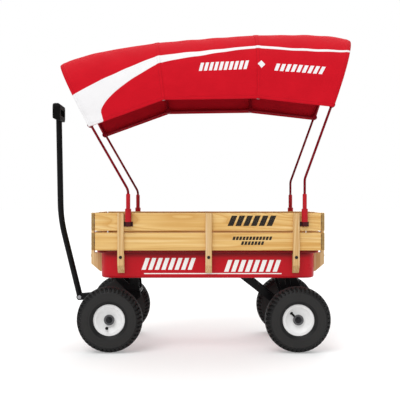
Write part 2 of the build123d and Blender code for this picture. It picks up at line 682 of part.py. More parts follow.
def make_socket(x, sign):
    """A stepped sleeve that takes the foot of a canopy bow, with a peg through its clip."""
    y = sign * SOCKET_Y
    sleeve = rod((x, y, SOCKET_STEP_Z), (x, y, SOCKET_TOP_Z), SOCKET_RADIUS)
    sleeve = chamfer(sleeve.edges().group_by(Axis.Z)[-1], 2.5)
    foot = rod((x, y, SOCKET_BASE_Z), (x, y, SOCKET_STEP_Z), SOCKET_FOOT_RADIUS)
    foot = chamfer(foot.edges().group_by(Axis.Z)[-1], 2.0)
    peg = rod((x, y, CLIP_BASE_Z), (x, y, SOCKET_BASE_Z), 7.0)
    bore = rod((x, y, SOCKET_BORE_Z), (x, y, SOCKET_TOP_Z + 5), ROD_RADIUS + ROD_SLIDE_CLEARANCE)
    return sleeve + foot + peg - bore


def make_socket_clip(x, sign):
    """A black clip on the upper plank that holds one socket's peg."""
    back = block(x - 18, x + 18, SIDE_PLANK_OUT, SIDE_PLANK_OUT + 2.5, CLIP_BASE_Z, SOCKET_BASE_Z)
    hold = block(x - 9.8, x + 9.8, SIDE_PLANK_OUT, SOCKET_Y + 11, CLIP_BASE_Z, SOCKET_BASE_Z)
    hold = fillet(hold.edges().filter_by(Axis.Z).group_by(Axis.Y)[-1], 6)
    clip = to_side(back + hold, sign)
    clip -= rod((x, sign * SOCKET_Y, 480), (x, sign * SOCKET_Y, 560), 7.1)
    for line in clip_screw_lines():
        clip -= screw_hole(line)
    return clip


def arch_direction(arch):
    """The way an arch leans, from its hem to its crown, and how far apart those are."""
    (x0, z0), (x1, z1) = arch
    run = Vector(x1 - x0, 0, z1 - z0)
    return run.normalized(), run.length


def arch_edges(arch, radius, drop, nudge=0.0):
    """Right foot, straight leg, half circle, straight leg, left foot, as a path."""
    lean, height = arch_direction(arch)
    hem = Vector(arch[0][0] + nudge, 0, arch[0][1])
    side = Vector(0, radius, 0)
    spring = hem + lean * (height - ARCH_RADIUS)
    crown = spring + lean * radius
    foot = hem - lean * drop
    return [
        Edge.make_line(foot + side, spring + side),
        Edge.make_three_point_arc(spring + side, crown, spring - side),
        Edge.make_line(spring - side, foot - side),
    ]


def make_bow(socket_x, bend_z, arch):
    """A canopy bow: two legs up from the sockets, a lean, and the arch across."""
    lean, height = arch_direction(arch)
    hem = Vector(arch[0][0], 0, arch[0][1])
    spring = hem + lean * (height - ARCH_RADIUS)
    legs = []
    for sign in (1, -1):
        side = Vector(0, sign * ARCH_RADIUS, 0)
        corners = [Vector(socket_x, 0, BOW_FOOT_Z) + side, Vector(socket_x, 0, bend_z) + side,
                   spring + side]
        legs.append(FilletPolyline(*corners, radius=BOW_BEND_RADIUS))
    side = Vector(0, ARCH_RADIUS, 0)
    over = Edge.make_three_point_arc(spring + side, spring + lean * ARCH_RADIUS, spring - side)
    path = Wire(legs[0].edges() + [over] + legs[1].edges())
    start = Plane(origin=(socket_x, ARCH_RADIUS, BOW_FOOT_Z), z_dir=(0, 0, 1))
    return sweep(start * Circle(ROD_RADIUS), path=path)


def make_rib(arch):
    """A plain arch between the two hem rails."""
    edges = arch_edges(arch, ARCH_RADIUS, ROD_RADIUS + 3)
    path = Wire(edges)
    start = Plane(origin=path @ 0, z_dir=path % 0)
    return sweep(start * Circle(ROD_RADIUS), path=path)


def hem_places():
    """The x and z of the four hem corners, front to rear."""
    return [arch[0] for arch in (FRONT_ARCH, FRONT_RIB, REAR_RIB, REAR_ARCH)]


def make_hem_rail(sign):
    """A rod along one hem, bent at the ribs."""
    places = hem_places()
    first = toward(places[0], places[1], -8)
    last = toward(places[3], places[2], -8)
    corners = [first] + [Vector(x, 0, z) for x, z in places[1:3]] + [last]
    side = Vector(0, sign * RAIL_Y, 0)
    path = FilletPolyline(*[c + side for c in corners], radius=RAIL_BEND_RADIUS)
    return sweep(Plane(origin=path @ 0, z_dir=path % 0) * Circle(ROD_RADIUS), path=path)


def make_joiners(bows_and_rails):
    """A moulded button at each hem corner, where an arch and a rail cross."""
    solids = []
    for x, z in hem_places():
        for sign in (-1, 1):
            inner = sign * (RAIL_Y - ROD_RADIUS - 3)
            outer = sign * (ARCH_RADIUS + ROD_RADIUS + 2.4)
            joiner = rod((x, inner, z), (x, outer, z), JOINER_RADIUS)
            joiner = fillet(joiner.edges().filter_by(GeomType.CIRCLE), 1.5)
            for shape in bows_and_rails:
                joiner -= shape
            solids.append(joiner)
    return solids


def cloth_section(arch, nudge):
    """The canopy's section at one arch, as a thin closed face."""
    inner = ARCH_RADIUS + ROD_RADIUS + CLOTH_GAP
    outer = inner + CLOTH_THICK
    out_edges = arch_edges(arch, outer, CLOTH_DROP, nudge)
    in_edges = arch_edges(arch, inner, CLOTH_DROP, nudge)
    ends = [
        Edge.make_line(out_edges[0] @ 0, in_edges[0] @ 0),
        Edge.make_line(out_edges[2] @ 1, in_edges[2] @ 1),
    ]
    return Face(Wire(out_edges + in_edges + ends))


def swelled(bow, rib, swell):
    """The arch line part of the way from a bow to its rib, with its crown raised."""
    share, rise = swell
    hem, crown = [
        (a[0] + (b[0] - a[0]) * share, a[1] + (b[1] - a[1]) * share) for a, b in zip(bow, rib)
    ]
    return hem, (crown[0], crown[1] + rise)


def make_cloth():
    """The fabric as one sheet over the four arches, open at both ends and below."""
    arches = (
        (FRONT_ARCH, -CLOTH_OVERHANG), (swelled(FRONT_ARCH, FRONT_RIB, FRONT_SWELL), 0.0),
        (FRONT_RIB, 0.0), (REAR_RIB, 0.0),
        (swelled(REAR_ARCH, REAR_RIB, REAR_SWELL), 0.0), (REAR_ARCH, CLOTH_OVERHANG),
    )
    return loft([cloth_section(arch, nudge) for arch, nudge in arches], ruled=True)


# ---------------------------------------------------------------- assembly

def make_planks():
    """The eight boards by name."""
    screws = stake_screw_lines() + bracket_screw_lines() + clip_screw_lines()
    half = SIDE_PLANK_LENGTH / 2
    across = END_PLANK_WIDTH / 2
    boards = {}
    for level, height in enumerate(("lower", "upper")):
        for side, sign in SIDES:
            near = [s for s in screws if abs(s[0][1] - s[1][1]) > 1 and s[0][1] * sign > 0]
            faces = (sign * SIDE_PLANK_IN, sign * SIDE_PLANK_OUT)
            boards[f"plank_{side}_{height}"] = make_plank(
                -half, half, min(faces), max(faces), level, near
            )
        for end, sign in (("front", -1), ("rear", 1)):
            near = [s for s in screws if abs(s[0][0] - s[1][0]) > 1 and s[0][0] * sign > 0]
            faces = (sign * END_PLANK_IN, sign * END_PLANK_OUT)
            boards[f"plank_{end}_{height}"] = make_plank(
                min(faces), max(faces), -across, across, level, near
            )
    return boards


def make_wagon():
    """Every node's solids by name, with the tray's middle at x = 0."""
    nodes = {"tray": [make_tray()]}
    nodes.update({name: [board] for name, board in make_planks().items()})
    for side, sign in SIDES:
        nodes[f"stakes_{side}"] = [drilled(make_side_stake(x, sign)) for x in SIDE_STAKE_XS]
    for end, sign in (("front", -1), ("rear", 1)):
        nodes[f"stakes_{end}"] = [drilled(make_end_stake(y, sign)) for y in END_STAKE_YS]
    lines = stake_screw_lines() + bracket_screw_lines() + clip_screw_lines()
    nodes["plank_screws"] = [screw(line) for line in lines]
    nodes["stake_bolts"] = make_stake_bolts()
    nodes["corner_brackets"] = make_corner_brackets()

    nodes["front_bolster"] = [make_front_bolster()]
    for side, sign in SIDES:
        nodes[f"rear_hanger_{side}"] = [make_rear_hanger(sign)]
        nodes[f"rear_brace_{side}"] = [make_rear_brace(sign)]
    nodes["frame_bolts"] = make_frame_bolts()
    nodes["kingpin"] = make_kingpin()
    nodes["rear_axle"] = [make_axle(REAR_AXLE_X)]
    nodes["rear_axle_retainers"] = make_axle_retainers(REAR_AXLE_X)

    nodes["axle_fork"] = [make_fork()]
    nodes["tongue"] = [make_tongue()]
    nodes["pivot_bolt"] = make_pivot_bolt()
    nodes["front_axle"] = [make_axle(FRONT_AXLE_X)]
    nodes["front_axle_retainers"] = make_axle_retainers(FRONT_AXLE_X)

    nodes["handle_eye"] = [make_handle_eye()]
    nodes["handle_tube"] = [make_handle_tube()]
    nodes["handle_grip"] = [make_grip()]

    for end, x, angle in (("front", FRONT_AXLE_X, -107), ("rear", REAR_AXLE_X, 136)):
        for side, sign in SIDES:
            for name, solids in make_wheel(x, sign, angle).items():
                nodes[f"{name}_{end}_{side}"] = solids

    for end, x in (("front", FRONT_SOCKET_X), ("rear", REAR_SOCKET_X)):
        for side, sign in SIDES:
            nodes[f"canopy_socket_{end}_{side}"] = [make_socket(x, sign)]
    nodes["socket_clips"] = [
        make_socket_clip(x, sign) for x in (FRONT_SOCKET_X, REAR_SOCKET_X) for _, sign in SIDES
    ]

    bow_front = make_bow(FRONT_SOCKET_X, FRONT_BEND_Z, FRONT_ARCH)
    bow_rear = make_bow(REAR_SOCKET_X, REAR_BEND_Z, REAR_ARCH)
    ribs = [make_rib(FRONT_RIB), make_rib(REAR_RIB)]
    rails = [make_hem_rail(sign) for _, sign in SIDES]
    nodes["canopy_bow_front"] = [bow_front]
    nodes["canopy_bow_rear"] = [bow_rear]
    nodes["canopy_rib_front"], nodes["canopy_rib_rear"] = [ribs[0]], [ribs[1]]
    nodes["hem_rail_left"], nodes["hem_rail_right"] = [rails[0]], [rails[1]]
    nodes["canopy_joiners"] = make_joiners([bow_front, bow_rear] + ribs + rails)
    nodes["canopy_cloth"] = [make_cloth()]
    return nodes


def main():
    os.makedirs("parts", exist_ok=True)
    for name, solids in make_wagon().items():
        whole = Compound(children=[s for shape in solids for s in shape.solids()])
        export_step(Pos(TRAY_X, 0, 0) * whole, f"parts/{name}.step")


main()
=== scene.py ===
import math

import bmesh
import bpy
import numpy as np
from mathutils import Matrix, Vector


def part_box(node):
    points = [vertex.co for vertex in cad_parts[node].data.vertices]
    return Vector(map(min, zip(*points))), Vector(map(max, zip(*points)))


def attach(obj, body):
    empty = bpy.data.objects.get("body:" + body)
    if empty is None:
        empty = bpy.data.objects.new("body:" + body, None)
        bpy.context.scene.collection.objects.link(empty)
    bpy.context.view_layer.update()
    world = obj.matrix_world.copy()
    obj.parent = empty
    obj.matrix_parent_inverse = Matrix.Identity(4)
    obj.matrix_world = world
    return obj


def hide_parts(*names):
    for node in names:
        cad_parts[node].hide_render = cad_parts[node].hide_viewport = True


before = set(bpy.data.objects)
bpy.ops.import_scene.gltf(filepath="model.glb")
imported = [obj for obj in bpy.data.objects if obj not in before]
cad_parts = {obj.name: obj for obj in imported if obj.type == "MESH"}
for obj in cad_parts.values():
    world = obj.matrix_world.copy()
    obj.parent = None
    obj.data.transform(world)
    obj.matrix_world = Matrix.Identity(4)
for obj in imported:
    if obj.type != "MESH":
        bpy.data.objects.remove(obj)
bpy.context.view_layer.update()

# Everything is in metres, in the CAD frame: the handle end is at -X and up is +Z.


def node_middle(name):
    """The middle of a CAD node's box."""
    low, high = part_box(name)
    return (low + high) / 2


TRAY_LOW, TRAY_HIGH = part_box("tray")
TRAY_X = (TRAY_LOW.x + TRAY_HIGH.x) / 2
PLANK_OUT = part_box("plank_right_upper")[1].y
WALL_OUT = 0.202              # the tray's side walls, from the middle plane
ENDS = ("front", "rear")
SIDES = (("left", -1), ("right", 1))


# ---------------------------------------------------------------- camera, light, floor

CAMERA_DISTANCE = 3.255       # from the wagon's middle plane, on its left side
CAMERA_HEIGHT = 0.614
CAMERA_X = TRAY_X - 0.032
CAMERA_LENS = 67.5


def make_camera():
    """A camera that looks straight at the wagon's left side from a little above the wheels."""
    data = bpy.data.cameras.new("camera")
    data.lens = CAMERA_LENS
    data.sensor_width = 36.0
    camera = bpy.data.objects.new("camera", data)
    camera.location = (CAMERA_X, -CAMERA_DISTANCE, CAMERA_HEIGHT)
    camera.rotation_euler = (math.radians(90), 0, 0)
    bpy.context.scene.collection.objects.link(camera)
    bpy.context.scene.camera = camera
    bpy.context.scene.view_settings.view_transform = "Standard"


def make_sun(name, toward, power, spread):
    """A soft light from far away, which shines from the direction toward."""
    data = bpy.data.lights.new(name, "SUN")
    data.energy = power
    data.angle = math.radians(spread)
    light = bpy.data.objects.new(name, data)
    light.rotation_euler = Vector(toward).to_track_quat("Z", "Y").to_euler()
    bpy.context.scene.collection.objects.link(light)


FLOOR_RADIUS = 40.0
FLOOR_SIDES = 128
FLOOR_WHITE = (0.66, 0.66, 0.66)
FLOOR_GLOW = 0.30             # keeps broad shadows pale
WORLD_WHITE = 1.0             # the surround's strength as the camera sees it
WORLD_LIGHT = 0.56            # and as it lights the object
# each light's name, where it comes from, its power and its width in degrees
SUNS = (
    ("key", (-0.45, -0.85, 1.20), 1.45, 40),
    ("top", (0.25, 0.15, 1.0), 0.50, 70),
    ("back", (0.1, 0.9, 1.1), 1.45, 60),
)


def make_world():
    """A white surround that lights the object more gently than it looks."""
    world = bpy.data.worlds.new("studio")
    bpy.context.scene.world = world
    world.use_nodes = True
    nodes, links = world.node_tree.nodes, world.node_tree.links
    background = nodes["Background"]
    background.inputs["Color"].default_value = (1.0, 1.0, 1.0, 1.0)
    rays = nodes.new("ShaderNodeLightPath")
    level = nodes.new("ShaderNodeMapRange")
    level.inputs["To Min"].default_value = WORLD_LIGHT
    level.inputs["To Max"].default_value = WORLD_WHITE
    links.new(rays.outputs["Is Camera Ray"], level.inputs["Value"])
    links.new(level.outputs["Result"], background.inputs["Strength"])


def make_stage():
    """A wide pale floor under soft light from all round."""
    make_world()
    verts = [(0.0, 0.0, 0.0)]
    for k in range(FLOOR_SIDES):
        angle = 2 * math.pi * k / FLOOR_SIDES
        verts.append((FLOOR_RADIUS * math.cos(angle), FLOOR_RADIUS * math.sin(angle), 0.0))
    faces = [(0, 1 + k, 1 + (k + 1) % FLOOR_SIDES) for k in range(FLOOR_SIDES)]
    floor = make_object("studio_floor", verts, faces)
    material = Material("studio_white")
    material.finish(color=FLOOR_WHITE, roughness=0.9, specular=0.0)
    material.surface.inputs["Emission Color"].default_value = (1.0, 1.0, 1.0, 1.0)
    material.surface.inputs["Emission Strength"].default_value = FLOOR_GLOW
    floor.data.materials.append(material.data)
    for name, toward, power, spread in SUNS:
        make_sun(name, toward, power, spread)


# ---------------------------------------------------------------- mesh helpers

def make_object(name, verts, faces):
    """A smooth mesh object at the origin from its points and faces."""
    mesh = bpy.data.meshes.new(name)
    mesh.from_pydata([tuple(v) for v in verts], [], faces)
    mesh.validate()
    for polygon in mesh.polygons:
        polygon.use_smooth = True
    mesh.update()
    made = bpy.data.objects.new(name, mesh)
    bpy.context.scene.collection.objects.link(made)
    return made


def recalculate_normals(thing):
    """Makes all of a mesh's faces point outwards."""
    work = bmesh.new()
    work.from_mesh(thing.data)
    bmesh.ops.recalc_face_normals(work, faces=work.faces)
    work.to_mesh(thing.data)
    work.free()


def mark_sharp(thing, degrees):
    """Keeps edges sharper than an angle crisp while the rest is smooth."""
    work = bmesh.new()
    work.from_mesh(thing.data)
    limit = math.radians(degrees)
    for edge in work.edges:
        edge.smooth = len(edge.link_faces) != 2 or edge.calc_face_angle(0) < limit
    work.to_mesh(thing.data)
    work.free()


def wheel_centre(end, side_name, sign):
    """The middle of a wheel: its rim's axis, at the middle of its tyre."""
    centre = node_middle(f"rim_{end}_{side_name}")
    centre.y = sign * abs(node_middle(f"tyre_{end}_{side_name}").y)
    return centre


def wheel_place(radius, angle, offset, centre, sign):
    """A point on a wheel, from its distance to the axle, its angle and its distance outwards."""
    return (
        centre.x + radius * math.cos(angle),
        centre.y + sign * offset,
        centre.z + radius * math.sin(angle),
    )


# ---------------------------------------------------------------- materials

class Material:
    """A node material, with short calls for adding nodes."""

    def __init__(self, name):
        self.data = bpy.data.materials.new(name)
        self.data.use_nodes = True
        self.tree = self.data.node_tree
        self.surface = self.tree.nodes["Principled BSDF"]

    def add(self, kind, values=None, **settings):
        """A node. values sets its inputs by name or number, from a number or another socket."""
        made = self.tree.nodes.new(kind)
        for key, value in settings.items():
            setattr(made, key, value)
        for key, value in (values or {}).items():
            self.put(made.inputs[key], value)
        return made

    def put(self, socket, value):
        """Sets an input from a number or a colour, or links another socket to it."""
        if isinstance(value, bpy.types.NodeSocket):
            self.tree.links.new(value, socket)
        elif hasattr(value, "__len__") and socket.type == "RGBA" and len(value) == 3:
            socket.default_value = (*value, 1.0)
        else:
            socket.default_value = value

    def coords(self, kind="Object"):
        return self.add("ShaderNodeTexCoord").outputs[kind]

    def stretched(self, scale, offset=(0, 0, 0), kind="Object"):
        """Coordinates with a scale along each axis."""
        node = self.add("ShaderNodeMapping", {"Vector": self.coords(kind), "Scale": scale,
                                              "Location": offset})
        return node.outputs["Vector"]

    def noise(self, vector, scale, detail=4.0, roughness=0.5, distortion=0.0):
        values = {"Vector": vector, "Scale": scale, "Detail": detail, "Roughness": roughness,
                  "Distortion": distortion}
        return self.add("ShaderNodeTexNoise", values).outputs["Fac"]

    def math(self, operation, a, b=0.0, clamp=False):
        node = self.add("ShaderNodeMath", {0: a, 1: b}, operation=operation, use_clamp=clamp)
        return node.outputs[0]

    def ramp(self, value, low, high, out_low=0.0, out_high=1.0, smooth=False):
        """Maps a value's range to another, with its ends held."""
        values = {"Value": value, "From Min": low, "From Max": high, "To Min": out_low,
                  "To Max": out_high}
        kind = "SMOOTHSTEP" if smooth else "LINEAR"
        return self.add("ShaderNodeMapRange", values, interpolation_type=kind).outputs["Result"]

    def mix(self, share, a, b):
        """Blends colour a into colour b. Sockets go by number, because several share a name."""
        node = self.add("ShaderNodeMix", {0: share, 6: a, 7: b}, data_type="RGBA")
        return node.outputs[2]

    def split(self, vector):
        """The three parts of a vector."""
        return self.add("ShaderNodeSeparateXYZ", {"Vector": vector}).outputs

    def bump(self, height, strength, distance=0.001, below=None):
        values = {"Height": height, "Strength": strength, "Distance": distance}
        if below is not None:
            values["Normal"] = below
        return self.add("ShaderNodeBump", values).outputs["Normal"]

    def finish(self, color, roughness=0.5, metallic=0.0, normal=None, specular=0.5, coat=0.0,
               coat_roughness=0.05):
        """Sets the surface's own sockets."""
        surface = self.surface
        self.put(surface.inputs["Base Color"], color)
        self.put(surface.inputs["Roughness"], roughness)
        self.put(surface.inputs["Metallic"], metallic)
        surface.inputs["Specular IOR Level"].default_value = specular
        surface.inputs["Coat Weight"].default_value = coat
        surface.inputs["Coat Roughness"].default_value = coat_roughness
        if normal is not None:
            self.put(surface.inputs["Normal"], normal)
        return self.data


def dress(node_name, material):
    """Gives a carried-over CAD node its material."""
    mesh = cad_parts[node_name].data
    mesh.materials.clear()
    mesh.materials.append(material)


def slanted_bars(material, along, up, place, count, pitch, duty, slant):
    """A mask for a row of slanted bars. place is where the row starts, its foot and its top."""
    start, low, high = place
    leaned = material.math("SUBTRACT", along, material.math("MULTIPLY", up, slant))
    turns = material.math("DIVIDE", material.math("SUBTRACT", leaned, start - low * slant), pitch)
    bars = material.math("LESS_THAN", material.math("FRACT", turns), duty)
    inside = material.math("GREATER_THAN", turns, 0.0)
    inside = material.math("MULTIPLY", inside, material.math("LESS_THAN", turns, float(count)))
    inside = material.math("MULTIPLY", inside, material.math("GREATER_THAN", up, low))
    inside = material.math("MULTIPLY", inside, material.math("LESS_THAN", up, high))
    return material.math("MULTIPLY", bars, inside)


def rows_of_bars(material, along, up, rows):
    """A mask for several rows of slanted bars."""
    marks = None
    for row in rows:
        bars = slanted_bars(material, along, up, *row)
        marks = bars if marks is None else material.math("MAXIMUM", marks, bars)
    return marks


def strip(material, along, up, start, end, low, high):
    """A mask for a plain rectangle, from two coordinates in metres."""
    inside = material.math("GREATER_THAN", along, start)
    inside = material.math("MULTIPLY", inside, material.math("LESS_THAN", along, end))
    inside = material.math("MULTIPLY", inside, material.math("GREATER_THAN", up, low))
    return material.math("MULTIPLY", inside, material.math("LESS_THAN", up, high))


# Printed rows of bars, each as where it starts, its foot and its top, how many bars there are,
# their pitch, the printed share of it, and how much they lean. Starts are from the tray's middle.
TRAY_BARS = (
    ((-0.270, 0.330, 0.378), 8, 0.0268, 0.62, 0.35),
    ((0.066, 0.322, 0.370), 8, 0.0282, 0.62, 0.35),
)
TRAY_LINE = (-0.260, 0.300, 0.3125, 0.3165)   # its start, end, foot and top
PLANK_BARS = (
    ((0.079, 0.509, 0.551), 6, 0.0315, 0.72, 0.42),
    ((0.0985, 0.4520, 0.4665), 12, 0.0134, 0.74, 0.30),
    ((0.1330, 0.4325, 0.4470), 7, 0.0134, 0.74, 0.30),
)
# on the canopy they are in shares of the cloth's length and of its height from hem to crown
CANOPY_BARS = (
    ((0.460, 0.276, 0.366), 10, 0.0190, 0.64, 0.12),
    ((0.746, 0.268, 0.340), 9, 0.0202, 0.64, 0.12),
)
DIAMOND = (0.700, 0.324)      # its middle
DIAMOND_HALF = (0.0135, 0.040)

RED = (0.49, 0.002, 0.010)
RED_MOTTLE = (0.46, 0.002, 0.009)
RED_SHADED = (0.10, 0.001, 0.002)
GRIME = (0.20, 0.02, 0.02)
PRINT_WHITE = (0.86, 0.85, 0.82)
PRINT_BLACK = (0.010, 0.009, 0.008)
# the end faces' darker colour: partly real end grain, partly painted shade
END_GRAIN_AND_SHADE = (0.14, 0.085, 0.03)


def red_enamel():
    """The tray's paint, with painted shade under the planks and white printed bars on its long
    sides.
    """
    m = Material("red_enamel")
    position = m.coords()
    x, y, z = m.split(position)
    cloudy = m.noise(position, 5.0, 3.0)
    color = m.mix(m.ramp(cloudy, 0.35, 0.7), RED, RED_MOTTLE)
    dust = m.noise(position, 240.0, 2.0)
    low_edge = m.ramp(z, TRAY_LOW.z + 0.022, TRAY_LOW.z + 0.004)
    grime = m.math("MULTIPLY", low_edge, m.ramp(dust, 0.45, 0.75))
    color = m.mix(m.math("MULTIPLY", grime, 0.35), color, GRIME)
    outside = m.math("GREATER_THAN", m.math("ABSOLUTE", y), WALL_OUT - 0.0004)
    # painted shade: the outer walls just under the planks are darkened towards RED_SHADED
    shaded = m.ramp(z, TRAY_HIGH.z - 0.030, TRAY_HIGH.z - 0.010, 0.0, 0.85)
    along_side = m.ramp(m.math("ABSOLUTE", y), WALL_OUT - 0.030, WALL_OUT - 0.001)
    color = m.mix(m.math("MULTIPLY", shaded, along_side), color, RED_SHADED)
    along = m.math("SUBTRACT", x, TRAY_X)
    bars = rows_of_bars(m, along, z, TRAY_BARS)
    marks = m.math("MAXIMUM", bars, strip(m, along, z, *TRAY_LINE))
    marks = m.math("MULTIPLY", marks, outside)
    color = m.mix(marks, color, PRINT_WHITE)
    peel = m.noise(position, 420.0, 2.0)
    normal = m.bump(peel, 0.05, 0.0006)
    rough = m.ramp(m.noise(position, 18.0, 3.0), 0.3, 0.7, 0.26, 0.34)
    return m.finish(color, rough, normal=normal, specular=0.12, coat=0.10, coat_roughness=0.10)


def painted(name, color, darker, roughness, specular=0.25):
    """Plain paint or powder coat with slight mottling and surface texture."""
    m = Material(name)
    position = m.coords()
    blotch = m.noise(position, 14.0, 4.0)
    shade = m.mix(m.ramp(blotch, 0.35, 0.7), color, darker)
    normal = m.bump(m.noise(position, 500.0, 2.0), 0.04, 0.0006)
    rough = m.ramp(m.noise(position, 60.0, 3.0), 0.3, 0.7, roughness - 0.05, roughness + 0.07)
    return m.finish(shade, rough, normal=normal, specular=specular)


def metal(name, color, darker, roughness):
    """Plated or oiled steel with fine scratches and slightly uneven tone."""
    m = Material(name)
    scratches = m.noise(m.coords(), 400.0, 6.0, 0.7)
    blotch = m.noise(m.coords(), 90.0, 3.0)
    shade = m.mix(m.ramp(blotch, 0.3, 0.7), color, darker)
    normal = m.bump(scratches, 0.08, 0.0003)
    rough = m.ramp(scratches, 0.3, 0.7, roughness - 0.08, roughness + 0.12)
    return m.finish(shade, rough, metallic=0.9, normal=normal)


def moulded(name, color, darker, roughness, strength=0.18, specular=0.25):
    """Moulded plastic with a fine grain."""
    m = Material(name)
    position = m.coords()
    shade = m.mix(m.ramp(m.noise(position, 30.0, 3.0), 0.3, 0.7), color, darker)
    normal = m.bump(m.noise(position, 900.0, 2.0), strength, 0.0004)
    rough = m.ramp(m.noise(position, 120.0, 2.0), 0.3, 0.7, roughness - 0.04, roughness + 0.06)
    return m.finish(shade, rough, normal=normal, specular=specular)


def wood(name, axis, seed, light, dark, marks=False):
    """Varnished softwood with long grain along one axis, darker on its end grain, partly as
    painted shade.
    """
    m = Material(name)
    position = m.coords()
    shift = (seed * 3.17, seed * 1.73, seed * 2.41)

    def drawn_out(across, along):
        scale = [across, across, across]
        scale[axis] = along
        return m.stretched(tuple(scale), shift)

    wander = m.noise(drawn_out(16.0, 1.3), 1.0, 3.0, 0.5)
    swirl = m.noise(drawn_out(10.0, 1.1), 1.0, 1.0, 0.3)
    rings = m.math("FRACT", m.math("MULTIPLY", swirl, 17.0))
    late = m.math("POWER", rings, 2.5)
    early = m.ramp(rings, 0.0, 0.12, 0.6, 0.0)
    late = m.math("MAXIMUM", late, early)
    streaks = m.noise(drawn_out(95.0, 2.0), 1.0, 3.0, 0.55)
    fibres = m.noise(drawn_out(520.0, 9.0), 1.0, 4.0, 0.6)
    tone = m.mix(m.ramp(wander, 0.35, 0.65), light, dark)
    pale = tuple(min(1.0, c * f) for c, f in zip(light, (1.05, 1.12, 1.35)))
    deep = tuple(c * f for c, f in zip(dark, (0.78, 0.62, 0.42)))
    tone = m.mix(m.ramp(streaks, 0.52, 0.66, 0.0, 0.75), tone, pale)
    tone = m.mix(m.math("MULTIPLY", late, 0.70), tone, deep)
    tone = m.mix(m.ramp(streaks, 0.47, 0.32, 0.0, 0.60), tone, deep)
    tone = m.mix(m.ramp(fibres, 0.35, 0.8, 0.0, 0.22), tone, deep)
    # the end faces get a darker colour that is partly real end grain and partly painted shade
    facing = m.split(m.coords("Normal"))[axis]
    end_grain_shade_mask = m.math("GREATER_THAN", m.math("ABSOLUTE", facing), 0.85)
    tone = m.mix(m.math("MULTIPLY", end_grain_shade_mask, 0.72), tone, END_GRAIN_AND_SHADE)
    if marks:
        tone = m.mix(plank_print(m, position), tone, PRINT_BLACK)
    height = m.math("ADD", m.math("MULTIPLY", fibres, 0.6), m.math("MULTIPLY", late, -0.5))
    normal = m.bump(height, 0.22, 0.0006)
    rough = m.ramp(fibres, 0.3, 0.8, 0.42, 0.58)
    return m.finish(tone, rough, normal=normal, specular=0.2)


def plank_print(m, position):
    """Black printed bars and rows of dashes on the outer faces of the side planks."""
    x, y, z = m.split(position)
    along = m.math("SUBTRACT", x, TRAY_X)
    marks = rows_of_bars(m, along, z, PLANK_BARS)
    outside = m.math("GREATER_THAN", m.math("ABSOLUTE", y), PLANK_OUT - 0.0008)
    worn = m.ramp(m.noise(position, 600.0, 3.0), 0.25, 0.4)
    return m.math("MULTIPLY", m.math("MULTIPLY", marks, outside), worn)


def tyre_rubber():
    """Dusty black rubber, with a painted highlight on the flattest part of the sidewalls."""
    m = Material("tyre_rubber")
    position = m.coords()
    dust = m.noise(position, 35.0, 5.0, 0.6)
    speckle = m.noise(position, 900.0, 2.0)
    color = m.mix(m.ramp(dust, 0.35, 0.75), (0.007, 0.007, 0.0075), (0.014, 0.0135, 0.013))
    normal = m.bump(speckle, 0.25, 0.0004)
    # painted highlight: sidewall faces that point straight out are made paler
    sideways = m.math("ABSOLUTE", m.split(m.coords("Normal"))[1])
    sidewall_highlight = m.ramp(sideways, 0.90, 1.0, 0.0, 0.55)
    color = m.mix(sidewall_highlight, color, (0.030, 0.029, 0.028))
    rough = m.ramp(dust, 0.3, 0.7, 0.42, 0.56)
    return m.finish(color, rough, normal=normal, specular=0.20)


# ---------------------------------------------------------------- tyres and valves

LUGS = 44                     # tread blocks round each shoulder
SLOT_DEPTH = 0.0065           # slots between the blocks
SLOT_TOP = 0.1190             # slots are at full depth outside this distance from the axle
SLOT_ROOT = 0.1125            # and run out at this one
SLOT_INNER = 0.0178           # they reach this near to the tyre's middle plane
SLOT_LEAN = 14.0              # the pitches that a slot leans by, for each metre outwards
SECTION_CENTRE = 0.0940
# the shares of one block's pitch at which the tread's mesh has lines, and where a slot begins
PHASES = (0.0, 0.20, 0.42, 0.58, 0.62, 0.74, 0.86, 0.965)
SLOT_PHASE = 0.60
BEAD_FOOT = 0.0512            # the tyre's inner edge, on the rim's barrel
BEAD_TOP = 0.0643             # and the top of its bead, just over the rim's lip
BEAD_SIDE = 0.0238
WALL_STEPS = 26
WALL_TURN = 62                # degrees that the round sidewall reaches each way
WALL_TALL = 0.0330            # its half height
WALL_BULGE = 0.0160           # how far it stands out from WALL_FOOT
WALL_FOOT = 0.0262
RING_HEIGHT = 0.0010
RINGS = ((0.0760, 0.0022), (0.1085, 0.0020))   # raised rings: distance to the axle, half width
# the shoulder, the groove beside the crown and the crown's own groove, from outside inwards
SHOULDER = ((0.1248, 0.0325), (0.1270, 0.0302), (0.1288, 0.0268), (0.1300, 0.0230),
            (0.1308, 0.0195), (0.1310, 0.0182))
GROOVE = ((0.1278, 0.0170), (0.1278, 0.0140), (0.1316, 0.0128), (0.1322, 0.0090))
CROWN = ((0.1327, 0.0052), (0.1300, 0.0046), (0.1300, 0.0016), (0.1329, 0.0010))


def tyre_profile():
    """The tyre's closed section: (distance to the axle, distance outwards)."""
    wall = [(BEAD_FOOT, BEAD_SIDE), (BEAD_TOP, BEAD_SIDE), (BEAD_TOP, 0.0280)]
    for i in range(WALL_STEPS + 1):
        turn = math.radians(WALL_TURN * (2 * i / WALL_STEPS - 1))
        radius = SECTION_CENTRE + WALL_TALL * math.sin(turn)
        on_ring = any(abs(radius - middle) < half for middle, half in RINGS)
        out = WALL_FOOT + WALL_BULGE * math.cos(turn)
        wall.append((radius, out + RING_HEIGHT if on_ring else out))
    right = [*wall, *SHOULDER, *GROOVE, *CROWN]
    left = [(radius, -side) for radius, side in reversed(right)]
    return right + left


